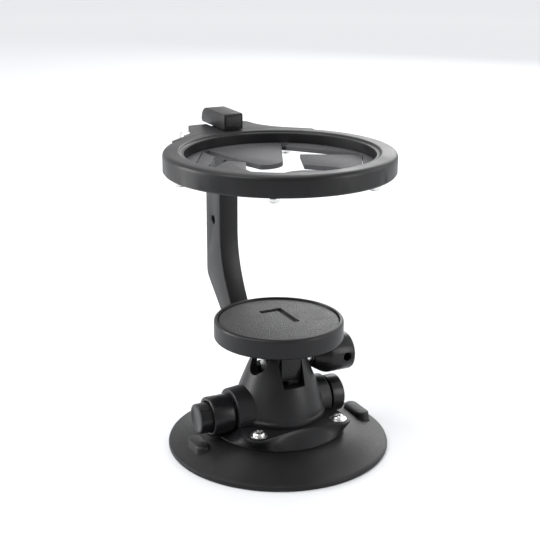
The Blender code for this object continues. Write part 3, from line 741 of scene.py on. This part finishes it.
pin_profile = [(0, pin_low.x), *curve([(1.6, pin_low.x), (3.2, pin_low.x), (3.2, pin_low.x + 1.8)], 8)]
pin_profile += [(3.2, -18.6), (2.0, -18.6), (2.0, pin_high.x - 0.4), (1.6, pin_high.x)]
pin_profile += [(0, pin_high.x)]
piece(
    "fold_pin_skin", spin(pin_profile, 64, "X", FOLD_MIDDLE), STEEL, "ring", "screw_steel", "fold_pin"
)

# ---------------------------------------------------------------- grip ring and petals

grip_low, grip_high = measured("grip_ring")


def hexagonal_washer(outer, inradius, low, high, steps=120):
    """A flat ring, round outside and six-sided inside."""
    body = bmesh.new()
    rings = []
    for outside, height in ((0, low), (1, low), (1, high), (0, high)):
        ring = []
        for step in range(steps):
            angle = 360 * step / steps
            reach = outer if outside else inradius / cos(radians(angle % 60 - 30))
            turn = radians(angle)
            ring.append(body.verts.new((reach * cos(turn), reach * sin(turn), height)))
        rings.append(ring)
    for index, ring in enumerate(rings):
        after = rings[(index + 1) % 4]
        for step in range(steps):
            following = (step + 1) % steps
            body.faces.new([ring[step], ring[following], after[following], after[step]])
    return body


piece(
    "grip_ring_skin",
    hexagonal_washer(54.6, 40.4, grip_low.z, grip_high.z),
    GRIP,
    "ring",
    "grip_rubber",
    "grip_ring",
    width=0.3,
    segments=2,
)

back = [(21, 40.1), *curve([(2.3, 1.3), (-1.0, -3.6), (-8.6, -4.4), (-11.6, -2.0)], 10)]
back += [(-15.7, 12.3), (-18.9, 29.1), (-20.6, 40.1)]
PETALS = [
    back,
    [(-24.2, 38.2), (-23.8, 25), (-32.6, 9.4), (-45.2, 1.9)],
    [(-44.6, -2.9), (-31.6, 4.6), (-22.4, 13.6), (-15.4, 6.4), (-21.4, -7), (-21.6, -24)]
    + [(-24.6, -37.5)],
    [(-20.8, -40.1), *curve([(-17, -27.5), (-9, -18.5), (1, -16.5), (10, -25)], 10), (20.8, -40.1)],
    [(24.6, -37.5), (19, -21), (8, -10), (17.3, 12.1), (44.9, -2.4)],
    [(45, 2.3), (20.1, 32.8), (24.5, 37.7)],
]
for number, outline in enumerate(PETALS, 1):
    petal = prism(outline, grip_low.z, grip_high.z)
    piece(
        f"petal_skin_{number}",
        petal,
        GRIP,
        f"petal_{number}",
        "grip_rubber",
        f"grip_petal_{number}",
        width=0.3,
        segments=2,
    )

# ---------------------------------------------------------------- catch

catch_low, catch_high = measured("slide_catch")
front, rear, top = catch_low.y, catch_high.y, catch_high.z
catch_outline = [(front, catch_low.z), (front, top - 0.8), (front + 0.8, top)]
catch_outline += arc((rear - 7.0, top - 7.0), 7.0, 90, 0, 20)
catch_outline += [(rear - 1.2, catch_low.z)]
slide_slot = [(-2.6, catch_low.z - 1), (2.6, catch_low.z - 1), (2.6, 158.2), (3.8, 158.2)]
slide_slot += [(3.8, 160.6), (-3.8, 160.6), (-3.8, 158.2), (-2.6, 158.2)]
piece(
    "catch_skin",
    prism(catch_outline, catch_low.x, catch_high.x, "X"),
    SHELL,
    "catch",
    "shell_plastic",
    "slide_catch",
    cuts=[
        prism(slide_slot, 55.6, rear + 5, "Y"),
        rod(1.1, -4.6, 4.8, 32, "X", (0, RAIL_REAR + 1.6, 156.9)),
    ],
    width=0.6,
)
piece(
    "catch_grip",
    box((catch_low.x + 1.1, front - 0.15, 156.6), (catch_high.x - 1.1, front + 0.2, top - 1.5)),
    KNURL,
    "catch",
    "shell_plastic",
    width=0.12,
    segments=2,
)

# ---------------------------------------------------------------- what CAD shows as it is

for node, material, slot in (
    ("pump_cylinder", SATIN, "pump_plastic"),
    ("vacuum_stem", SATIN, "pump_plastic"),
    ("pivot_post", SATIN, "pump_plastic"),
    ("pump_rod", STEEL, "screw_steel"),
    ("pump_spring", STEEL, "screw_steel"),
    ("piston_seal", CUP, "seal_rubber"),
    ("check_valve", CUP, "seal_rubber"),
    ("clamp_screw", STEEL, "screw_steel"),
    ("clamp_nut", STEEL, "screw_steel"),
    ("catch_pin", STEEL, "screw_steel"),
    ("tray_screw", STEEL, "screw_steel"),
):
    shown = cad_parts[node]
    shown.data.materials.clear()
    shown.data.materials.append(material)
    shown.data.shade_smooth()
    shown.data.set_sharp_from_angle(angle=radians(35))

# ---------------------------------------------------------------- stage, light and camera

floor_mesh = bmesh.new()
bmesh.ops.create_grid(floor_mesh, x_segments=2, y_segments=2, size=6.0)
floor_data = bpy.data.meshes.new("floor")
floor_mesh.to_mesh(floor_data)
floor_mesh.free()
floor_data.materials.append(backdrop("backdrop"))
floor = bpy.data.objects.new("floor", floor_data)
floor.location.z = FOOT.z - 0.0001
bpy.context.scene.collection.objects.link(floor)

world = bpy.data.worlds.new("studio")
bpy.context.scene.world = world
world.use_nodes = True
sky = world.node_tree
direction = sky.nodes.new("ShaderNodeTexCoord")
facing = sky.nodes.new("ShaderNodeVectorMath")
facing.operation = "DOT_PRODUCT"
facing.inputs[1].default_value = (-0.45, -0.88, 0.12)
sky.links.new(direction.outputs["Generated"], facing.inputs[0])
shade = sky.nodes.new("ShaderNodeMapRange")
shade.interpolation_type = "SMOOTHSTEP"
shade.inputs["From Min"].default_value = 0.15
shade.inputs["From Max"].default_value = 0.9
shade.inputs["To Min"].default_value = 0.96
shade.inputs["To Max"].default_value = 0.42
sky.links.new(facing.outputs["Value"], shade.inputs["Value"])
sky.links.new(shade.outputs["Result"], sky.nodes["Background"].inputs["Strength"])
sky.nodes["Background"].inputs["Color"].default_value = (0.965, 0.972, 0.985, 1)


def panel(name, spot, target, size, power, colour=(1, 1, 1)):
    """A soft box light that faces a point."""
    data = bpy.data.lights.new(name, "AREA")
    data.shape = "RECTANGLE"
    data.size, data.size_y = size
    data.energy = power
    data.color = colour
    light = bpy.data.objects.new(name, data)
    light.location = FOOT + Vector(spot)
    light.rotation_euler = (Vector(spot) - Vector(target)).to_track_quat("Z", "Y").to_euler()
    bpy.context.scene.collection.objects.link(light)


panel("key_panel", (-0.75, -0.2, 0.85), (0, 0, 0.08), (0.5, 0.5), 6.0)
panel("left_strip", (-0.75, 0.45, 0.3), (0, 0, 0.1), (0.3, 0.5), 6.0)
panel("right_strip", (0.6, -0.72, 0.32), (0, 0, 0.1), (0.22, 0.5), 3.0)
panel("right_panel", (0.95, -0.15, 0.45), (0, 0, 0.08), (0.3, 0.6), 2.0)
panel("top_panel", (0.1, 0.3, 1.3), (0, 0, 0.1), (0.9, 0.9), 7.0)
panel("back_panel", (0.95, 0.95, 0.62), (0, 0, 0.12), (0.8, 0.5), 5.5)

TURN, PITCH, YAW, ROLL = 27.0, 17.7817, 0.4742, 0.2931
DISTANCE, HEIGHT, LENS = 0.55678, 0.27191, 77.915
camera_data = bpy.data.cameras.new("camera")
camera_data.lens = LENS
camera_data.sensor_width = 36.0
camera_data.clip_start = 0.01
camera = bpy.data.objects.new("camera", camera_data)
heading = Matrix.Rotation(radians(YAW - TURN), 4, "Z")
tilt = Matrix.Rotation(radians(90 - PITCH), 4, "X")
lean = Matrix.Rotation(radians(ROLL), 4, "Z")
camera.matrix_world = heading @ tilt @ lean
side_step = Vector((-sin(radians(TURN)), -cos(radians(TURN)), 0)) * DISTANCE
camera.location = FOOT + side_step + Vector((0, 0, HEIGHT))
bpy.context.scene.collection.objects.link(camera)
bpy.context.scene.camera = camera

bpy.context.scene.view_settings.view_transform = "Standard"
